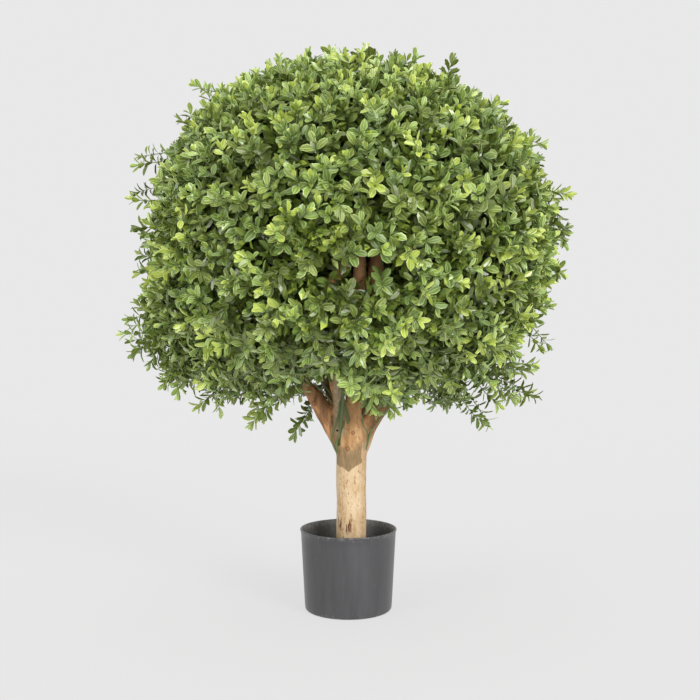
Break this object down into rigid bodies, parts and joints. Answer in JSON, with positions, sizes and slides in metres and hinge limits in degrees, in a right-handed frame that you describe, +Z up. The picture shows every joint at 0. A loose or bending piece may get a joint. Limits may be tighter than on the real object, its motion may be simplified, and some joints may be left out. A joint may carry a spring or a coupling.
{
  "type": "potted boxwood ball topiary",
  "caption": "Artificial boxwood ball on a forked peeled-wood trunk, standing in hard fill in a plain dark grey plastic nursery pot",
  "frame": {"origin": "centre of the pot's flat underside, on the floor", "axes": "+Z up along the trunk; -Y is the front, the side the picture was taken from; +X is the picture's right"},
  "size_m": [0.7221, 0.6862, 0.902],
  "materials": {
    "pot": "dark grey plastic with a dull sheen, plain moulded wall",
    "fill": "rough grey cement, out of sight deep in the pot",
    "wood": "peeled natural wood, pale below the fork and reddish brown on the limbs",
    "foliage": "satin green plastic boxwood leaves, paler at the margins"
  },
  "bodies": {
    "root": {"pot": "pot", "pot_fill": "fill", "trunk": "wood", "bough_leader": "wood", "bough_left": "wood", "bough_right": "wood", "bough_front_left": "wood", "bough_front_right": "wood", "bough_back_right": "wood", "bough_back_left": "wood", "foliage_top": "foliage", "foliage_front_left": "foliage", "foliage_front_right": "foliage", "foliage_back_right": "foliage", "foliage_back_left": "foliage", "foliage_low_front": "foliage", "foliage_low_right": "foliage", "foliage_low_back": "foliage", "foliage_low_left": "foliage"}
  },
  "joints": []
}
